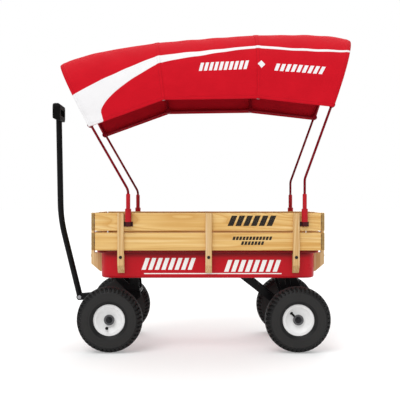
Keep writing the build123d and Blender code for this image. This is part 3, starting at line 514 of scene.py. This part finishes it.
def cut_tread(radius, side, phase):
    """A profile point after the slots between the blocks are cut towards the section's centre."""
    lean = (abs(side) - SLOT_INNER) * SLOT_LEAN
    turn = (phase + lean + (0.5 if side < 0 else 0.0)) % 1.0
    if turn < SLOT_PHASE or abs(side) < SLOT_INNER or radius < SLOT_ROOT:
        return radius, side
    depth = SLOT_DEPTH * min(1.0, (radius - SLOT_ROOT) / (SLOT_TOP - SLOT_ROOT))
    up, out = radius - SECTION_CENTRE, side
    length = math.hypot(up, out)
    return radius - depth * up / length, side - depth * out / length


def make_tyre(end, side_name, sign, material):
    """A tyre with slotted shoulders, a grooved crown and ribbed sidewalls."""
    centre = wheel_centre(end, side_name, sign)
    profile = tyre_profile()
    steps = LUGS * len(PHASES)
    verts = []
    for lug in range(LUGS):
        for phase in PHASES:
            angle = 2 * math.pi * (lug + phase) / LUGS
            for radius, side in profile:
                cut_radius, cut_side = cut_tread(radius, side, phase)
                verts.append(wheel_place(cut_radius, angle, cut_side, centre, sign))
    count = len(profile)
    faces = []
    for i in range(steps):
        a, b = i * count, ((i + 1) % steps) * count
        for j in range(count):
            n = (j + 1) % count
            faces.append((a + j, a + n, b + n, b + j))
    tyre = make_object(f"lugged_tyre_{end}_{side_name}", verts, faces)
    recalculate_normals(tyre)
    mark_sharp(tyre, 38)
    tyre.data.materials.append(material)
    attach(tyre, f"wheel_{end}_{side_name}")
    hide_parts(f"tyre_{end}_{side_name}")


VALVE_ANGLES = {"front": math.radians(-107), "rear": math.radians(136)}
VALVE_SIDES = 20
VALVE_REACH = 0.03            # the stem's heading is taken over this share of it each way
CAP_GROOVE = 0.92             # the grooves between the cap's ribs, as a share of its radius
# each stem's middle line as (distance to the axle, distance outwards), from rim to cap
VALVE_PATHS = {
    "front": ((0.0370, 0.0110), (0.0370, 0.0170), (0.0362, 0.0225), (0.0345, 0.0290),
              (0.0320, 0.0365)),
    "rear": ((0.0370, 0.0110), (0.0370, 0.0165), (0.0352, 0.0215), (0.0310, 0.0275),
             (0.0245, 0.0350)),
}
# along the stem: (share of its length, radius, ribbed)
VALVE_SHAPE = ((0.0, 0.0002, 0), (0.0, 0.0066, 0), (0.20, 0.0062, 0), (0.26, 0.0044, 0),
               (0.36, 0.0036, 0), (0.58, 0.0034, 0), (0.60, 0.0044, 1), (0.96, 0.0044, 1),
               (1.0, 0.0032, 0), (1.0, 0.0002, 0))


def along_path(path, share):
    """A point on a line of straight runs, at a share of its length."""
    runs = [math.dist(a, b) for a, b in zip(path, path[1:])]
    left = share * sum(runs)
    for a, b, run in zip(path, path[1:], runs):
        if left <= run:
            return a[0] + (b[0] - a[0]) * left / run, a[1] + (b[1] - a[1]) * left / run
        left -= run
    return path[-1]


def make_valve(end, side_name, sign, material):
    """A rubber-based valve stem with a ribbed cap, bent towards the hub."""
    centre = wheel_centre(end, side_name, sign)
    angle = VALVE_ANGLES[end]
    path = VALVE_PATHS[end]
    around = VALVE_SIDES
    inward = Vector((math.cos(angle), 0, math.sin(angle)))
    across = Vector((-math.sin(angle), 0, math.cos(angle)))
    verts = []
    for share, radius, ribbed in VALVE_SHAPE:
        r0, out0 = along_path(path, max(0.0, share - VALVE_REACH))
        r1, out1 = along_path(path, min(1.0, share + VALVE_REACH))
        heading = Vector((r1 - r0, out1 - out0)).normalized()
        middle = along_path(path, share)
        for k in range(around):
            turn = 2 * math.pi * k / around
            size = radius * (CAP_GROOVE if k % 2 and ribbed else 1.0)
            lift = size * math.cos(turn)
            place = inward * (middle[0] - heading.y * lift) + across * size * math.sin(turn)
            outwards = middle[1] + heading.x * lift
            verts.append(centre + place + Vector((0, sign * outwards, 0)))
    faces = []
    for i in range(len(VALVE_SHAPE) - 1):
        for k in range(around):
            n = (k + 1) % around
            a, b = i * around, (i + 1) * around
            faces.append((a + k, a + n, b + n, b + k))
    valve = make_object(f"valve_{end}_{side_name}", verts, faces)
    recalculate_normals(valve)
    mark_sharp(valve, 35)
    valve.data.materials.append(material)
    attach(valve, f"wheel_{end}_{side_name}")


# ---------------------------------------------------------------- canopy

ARCH_RADIUS = 0.239
ROD_RADIUS = 0.005
# each arch as (x, z) at its hem and (x, z) at its crown, on the rods' middle line
ARCHES = (
    ((-0.474, 0.916), (-0.615, 1.184)),
    ((-0.180, 1.026), (-0.213, 1.281)),
    ((0.203, 1.032), (0.204, 1.313)),
    ((0.500, 0.997), (0.596, 1.288)),
)
FRONT_SWELL = (0.66, 0.019)   # the end panels' crowns stand higher than a straight line between
MIDDLE_SWELL = (1.00, 0.003)  # their arches: an exponent for where it is most, and how much
REAR_SWELL = (0.61, 0.017)
CLOTH_OVERHANG = 0.009
CLOTH_DROP = 0.011
CLOTH_RADIUS = ARCH_RADIUS + ROD_RADIUS + 0.0042
CLOTH_SAG = 0.0035
CLOTH_THICKNESS = 0.0012
PANEL_LENGTHS = (0.31, 0.375, 0.30)   # about, along the hem, from the front
HEM_WIDTH = 0.014
HEM_RISE = 0.0009
SEAM_WIDTH = 0.013
SEAM_RISE = 0.0014
# the mesh's lines along and across the cloth, and the extra ones near the edges of seams and hems
LINES_ALONG = 145
LINES_ACROSS = 121
SEAM_LINES = (-0.0185, -0.0170, 0.0170, 0.0185)
END_HEM_LINES = (0.0440, 0.0468)
SIDE_HEM_LINES = (0.0150, 0.0164)


def swell_at(t):
    """How far the crown stands above a straight line between its arches."""
    if t < 1:
        power, most = FRONT_SWELL
        share = t
    elif t > 2:
        power, most = REAR_SWELL
        share = 3 - t
    else:
        power, most = MIDDLE_SWELL
        share = t - 1
    return most * math.sin(math.pi * share ** power)


def arch_at(t):
    """The hem and crown points at a place along the canopy: 0 is the front bow, 3 the rear one."""
    i = min(2, max(0, int(t)))
    share = t - i
    hem = Vector((0, 0, 0))
    crown = Vector((0, 0, swell_at(t)))
    for point, k in ((hem, 0), (crown, 1)):
        a, b = ARCHES[i][k], ARCHES[i + 1][k]
        point.x = TRAY_X + a[0] + (b[0] - a[0]) * share
        point.z += a[1] + (b[1] - a[1]) * share
    nudge = CLOTH_OVERHANG * (max(0.0, t - 2.0) - max(0.0, 1.0 - t))
    hem.x += nudge
    crown.x += nudge
    return hem, crown


def cloth_length(t):
    """The cloth's length over one arch, from hem to hem."""
    hem, crown = arch_at(t)
    leg = (crown - hem).length - ARCH_RADIUS + CLOTH_DROP
    return 2 * leg + math.pi * CLOTH_RADIUS


def cloth_point(t, s, out):
    """A point on the cloth: t along the canopy, s from 0 at the left hem to 1 at the right one."""
    hem, crown = arch_at(t)
    lean = crown - hem
    height = lean.length
    lean.normalize()
    radius = CLOTH_RADIUS + out
    spring = hem + lean * (height - ARCH_RADIUS)
    leg = height - ARCH_RADIUS + CLOTH_DROP
    arc = math.pi * CLOTH_RADIUS
    along = s * (2 * leg + arc)
    if along < leg:
        point = spring - lean * (leg - along)
        return Vector((point.x, -radius, point.z))
    if along > leg + arc:
        point = spring - lean * (along - leg - arc)
        return Vector((point.x, radius, point.z))
    turn = (along - leg) / CLOTH_RADIUS
    point = spring + lean * (radius * math.sin(turn))
    return Vector((point.x, -radius * math.cos(turn), point.z))


def cloth_offset(t, s):
    """How far the cloth stands out from its plain shape: sag, wrinkles, seams and hems."""
    share = t - math.floor(t) if t < 3 else 1.0
    between = math.sin(math.pi * share) ** 0.8
    side = min(s, 1 - s) * 2
    roundness = 0.35 + 0.65 * math.sin(math.pi * min(1.0, side * 1.05)) ** 2
    out = -CLOTH_SAG * between * roundness
    pull = math.exp(-(min(share, 1 - share) / 0.16) ** 2) * math.exp(-(side / 0.30) ** 2)
    out += 0.0016 * pull * math.sin(44 * side + 9 * share)
    out += 0.0012 * between * math.sin(23 * t + 7 * side) * math.sin(9 * side + 2.3 * t)
    length = cloth_length(t)
    span = PANEL_LENGTHS[min(2, int(t))]
    from_hem = min(s, 1 - s) * length
    from_end = min(t * PANEL_LENGTHS[0], (3 - t) * PANEL_LENGTHS[2])
    from_seam = min(abs(t - 1), abs(t - 2)) * span
    if from_hem < HEM_WIDTH or from_end < HEM_WIDTH:
        out += HEM_RISE
    if from_seam < SEAM_WIDTH / 2:
        out += SEAM_RISE
    return out


def cloth_grid():
    """The lines along and across the cloth's mesh, closer together at seams and hems."""
    ts = set(np.linspace(0, 3, LINES_ALONG))
    for seam in (1.0, 2.0):
        for d in SEAM_LINES:
            ts.add(seam + d)
    for d in END_HEM_LINES:
        ts.add(d)
        ts.add(3 - d)
    ss = set(np.linspace(0, 1, LINES_ACROSS))
    for d in SIDE_HEM_LINES:
        ss.add(d)
        ss.add(1 - d)
    return sorted(ts), sorted(ss)


SEAMS = (0.311, 0.689)        # shares of the cloth's length
# the white sweep's edges, as (share of the length, share of the height)
SWEEP_TOP = ((0.0, 0.314), (0.05, 0.337), (0.18, 0.406), (0.32, 0.490), (0.51, 0.530),
             (0.69, 0.553), (0.83, 0.531), (0.96, 0.545), (1.0, 0.575))
SWEEP_BOTTOM = ((0.0, 0.0), (0.060, 0.0), (0.067, 0.088), (0.086, 0.136), (0.118, 0.186),
                (0.159, 0.234), (0.26, 0.334), (0.322, 0.390), (0.47, 0.455), (0.69, 0.512),
                (0.83, 0.497), (0.96, 0.515), (1.0, 0.545))
SWEEP_EDGE = 0.004            # how soft its edges are
THREADS = (1.27, 0.92, 1.0)   # stretches the cloth's coordinates to about its size
THREAD_SCALE = 190.0
STITCH_SPAN = (1.27, 0.90)    # the cloth's length and width, as its stitches are counted
STITCH_PITCH = 0.0045
STITCH_SHARE = 0.68           # the share of the pitch that shows thread
STITCH_HALF = 0.0006          # half the thread's width
SIDE_STITCH = 0.0128          # shares of the width and of the length, from the hems' edges
END_STITCH = 0.0092
SEAM_STITCH = 0.0046          # to each side of a seam


def woven(m):
    """The pattern of crossing threads."""
    threads = m.stretched(THREADS, kind="UV")
    values = {"Vector": threads, "Scale": THREAD_SCALE, "Distortion": 0.4}
    warp = m.add("ShaderNodeTexWave", values, bands_direction="X").outputs["Fac"]
    weft = m.add("ShaderNodeTexWave", values, bands_direction="Y").outputs["Fac"]
    return m.math("MULTIPLY", warp, weft)


def canopy_fabric():
    """Woven polyester, red with a white sweep that is widest at the front, with stitched seams."""
    m = Material("canopy_fabric")
    u, v, _ = m.split(m.coords("UV"))
    height = m.math("MULTIPLY", m.math("MINIMUM", v, m.math("SUBTRACT", 1.0, v)), 2.0)
    upper = m.add("ShaderNodeFloatCurve", {"Value": u})
    set_curve(upper, SWEEP_TOP)
    lower = m.add("ShaderNodeFloatCurve", {"Value": u})
    set_curve(lower, SWEEP_BOTTOM)
    under = m.ramp(m.math("SUBTRACT", upper.outputs[0], height), 0.0, SWEEP_EDGE)
    over = m.ramp(m.math("SUBTRACT", height, lower.outputs[0]), 0.0, SWEEP_EDGE)
    white = m.math("MULTIPLY", under, over)
    reaches = [
        m.math("DIVIDE", m.math("ABSOLUTE", m.math("SUBTRACT", value, middle)), half)
        for value, middle, half in zip((u, height), DIAMOND, DIAMOND_HALF)
    ]
    diamond = m.math("LESS_THAN", m.math("ADD", *reaches), 1.0)
    marks = m.math("MAXIMUM", rows_of_bars(m, u, height, CANOPY_BARS), diamond)
    white = m.math("MAXIMUM", white, marks, clamp=True)
    cloudy = m.noise(m.coords("UV"), 14.0, 4.0)
    red = m.mix(m.ramp(cloudy, 0.3, 0.7), (0.62, 0.005, 0.016), (0.57, 0.004, 0.014))
    pale = m.mix(m.ramp(cloudy, 0.3, 0.7), (0.90, 0.90, 0.91), (0.87, 0.87, 0.88))
    color = m.mix(white, red, pale)

    weave = woven(m)
    color = m.mix(m.ramp(weave, 0.0, 0.5, 0.16, 0.0), color, (0.10, 0.01, 0.01))

    stitches = cloth_stitches(m, u, v)
    thread = m.mix(white, (0.30, 0.004, 0.012), (0.55, 0.55, 0.56))
    color = m.mix(m.math("MULTIPLY", stitches, 0.85), color, thread)
    normal = m.bump(weave, 0.30, 0.0004)
    normal = m.bump(stitches, 0.5, 0.0008, below=normal)
    return m.finish(color, 0.80, normal=normal, specular=0.08)


def cloth_stitches(m, u, v):
    """Dashed lines of thread along the hems and both sides of the seams."""
    length, width = STITCH_SPAN

    def dashes(value, span):
        turns = m.math("FRACT", m.math("MULTIPLY", value, span / STITCH_PITCH))
        return m.math("LESS_THAN", turns, STITCH_SHARE)

    def near(value, place, reach):
        gap = m.math("ABSOLUTE", m.math("SUBTRACT", value, place))
        return m.math("LESS_THAN", gap, reach)

    dash_u, dash_v = dashes(u, length), dashes(v, width)
    beside_seams = [seam + d for seam in SEAMS for d in (-SEAM_STITCH, SEAM_STITCH)]
    lines = []
    for place in (SIDE_STITCH, 1 - SIDE_STITCH):
        lines.append(m.math("MULTIPLY", near(v, place, STITCH_HALF / width), dash_u))
    for place in (END_STITCH, 1 - END_STITCH, *beside_seams):
        lines.append(m.math("MULTIPLY", near(u, place, STITCH_HALF / length), dash_v))
    total = lines[0]
    for line in lines[1:]:
        total = m.math("MAXIMUM", total, line)
    return total


def canopy_shaded_inside():
    """The plain woven inside of the canopy, a darker red than the outside as painted shade."""
    m = Material("canopy_shaded_inside")
    weave = woven(m)
    cloudy = m.noise(m.coords("UV"), 14.0, 4.0)
    # painted shade: the inside's red is darker than the outside's
    color = m.mix(m.ramp(cloudy, 0.3, 0.7), (0.42, 0.004, 0.012), (0.36, 0.003, 0.010))
    color = m.mix(m.ramp(weave, 0.0, 0.5, 0.2, 0.0), color, (0.08, 0.005, 0.005))
    return m.finish(color, 0.85, normal=m.bump(weave, 0.3, 0.0004), specular=0.1)


def set_curve(node, points):
    """Puts a float curve's points where they belong."""
    curve = node.mapping.curves[0]
    while len(curve.points) < len(points):
        curve.points.new(0.5, 0.5)
    for place, point in zip(points, curve.points):
        point.location = place
        point.handle_type = "AUTO_CLAMPED"
    node.mapping.use_clip = False
    node.mapping.update()


def make_canopy_cloth():
    """The canopy as one curved sheet over the four arches, with seams over the ribs."""
    ts, ss = cloth_grid()
    verts = [cloth_point(t, s, cloth_offset(t, s)) for t in ts for s in ss]
    wide = len(ss)
    faces = []
    for i in range(len(ts) - 1):
        for j in range(wide - 1):
            a = i * wide + j
            faces.append((a, a + 1, a + 1 + wide, a + wide))
    cloth = make_object("canopy_sheet", verts, faces)
    layer = cloth.data.uv_layers.new(name="cut")
    for loop in cloth.data.loops:
        i, j = divmod(loop.vertex_index, wide)
        layer.data[loop.index].uv = (place_along(ts[i]), ss[j])
    recalculate_normals(cloth)
    solid = cloth.modifiers.new("thickness", "SOLIDIFY")
    solid.thickness = CLOTH_THICKNESS
    solid.offset = 0.0
    # the inner faces take the second material, the darker red painted as shade
    solid.material_offset = 1
    mark_sharp(cloth, 60)
    cloth.data.materials.append(canopy_fabric())
    cloth.data.materials.append(canopy_shaded_inside())
    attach(cloth, "canopy")
    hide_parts("canopy_cloth")


def place_along(t):
    """How far along the cloth a place is, from 0 at its front edge to 1 at its rear edge."""
    spans = (SEAMS[0], SEAMS[1] - SEAMS[0], 1 - SEAMS[1])
    i = min(2, int(t))
    return sum(spans[:i]) + spans[i] * (t - i)


# ---------------------------------------------------------------- putting it together

def dress_cad_nodes():
    """Gives every carried-over CAD node its material. Returns the one the valves share."""
    dress("tray", red_enamel())
    light, dark = (0.80, 0.55, 0.22), (0.71, 0.44, 0.145)
    stake_light, stake_dark = (0.74, 0.53, 0.27), (0.66, 0.44, 0.20)
    seed = 1
    for side, _ in SIDES:
        for level in ("lower", "upper"):
            name = f"plank_{side}_{level}"
            dress(name, wood(f"wood_{name}", 0, seed, light, dark, marks=True))
            seed += 1
    for end in ENDS:
        for level in ("lower", "upper"):
            name = f"plank_{end}_{level}"
            dress(name, wood(f"wood_{name}", 1, seed, light, dark))
            seed += 1
    for group in ("left", "right", "front", "rear"):
        name = f"stakes_{group}"
        dress(name, wood(f"wood_{name}", 2, seed, stake_light, stake_dark))
        seed += 1

    black = painted("black_steel", (0.0040, 0.0040, 0.0045), (0.007, 0.007, 0.0075), 0.30,
                    specular=0.10)
    zinc = metal("zinc_steel", (0.50, 0.50, 0.51), (0.34, 0.34, 0.36), 0.36)
    dark_steel = metal("bearing_steel", (0.030, 0.030, 0.033), (0.020, 0.020, 0.022), 0.42)
    grey_steel = metal("bearing_face", (0.13, 0.13, 0.135), (0.085, 0.085, 0.09), 0.38)
    white = painted("white_rim", (0.84, 0.84, 0.84), (0.78, 0.78, 0.77), 0.28, specular=0.4)
    red_plastic = moulded("red_plastic", (0.46, 0.006, 0.014), (0.38, 0.004, 0.011), 0.36,
                          strength=0.06, specular=0.2)
    black_plastic = moulded("black_plastic", (0.0035, 0.0035, 0.0035), (0.006, 0.006, 0.006),
                            0.46, specular=0.04)
    maroon = moulded("clip_plastic", (0.060, 0.003, 0.006), (0.040, 0.002, 0.004), 0.36,
                     specular=0.2)
    red_rod = painted("red_rod", (0.19, 0.001, 0.007), (0.14, 0.001, 0.005), 0.40, specular=0.06)
    by_material = {
        black: ("front_bolster", "rear_hanger_left", "rear_hanger_right", "rear_brace_left",
                "rear_brace_right", "axle_fork", "tongue", "handle_eye", "handle_tube",
                "frame_bolts", "kingpin"),
        zinc: ("corner_brackets", "pivot_bolt"),
        dark_steel: ("plank_screws", "stake_bolts", "rear_axle", "front_axle",
                     "rear_axle_retainers", "front_axle_retainers"),
        red_plastic: tuple(f"canopy_socket_{e}_{s}" for e in ENDS for s, _ in SIDES),
        black_plastic: ("handle_grip",),
        maroon: ("socket_clips",),
        red_rod: ("canopy_joiners", "canopy_bow_front", "canopy_bow_rear", "canopy_rib_front",
                  "canopy_rib_rear", "hem_rail_left", "hem_rail_right"),
    }
    for material, names in by_material.items():
        for name in names:
            dress(name, material)
    for end in ENDS:
        for side, _ in SIDES:
            dress(f"rim_{end}_{side}", white)
            dress(f"bearings_{end}_{side}", grey_steel)
    return black_plastic


def main():
    make_camera()
    make_stage()
    black_plastic = dress_cad_nodes()
    rubber = tyre_rubber()
    for end in ENDS:
        for side, sign in SIDES:
            make_tyre(end, side, sign, rubber)
            make_valve(end, side, sign, black_plastic)
    make_canopy_cloth()


main()
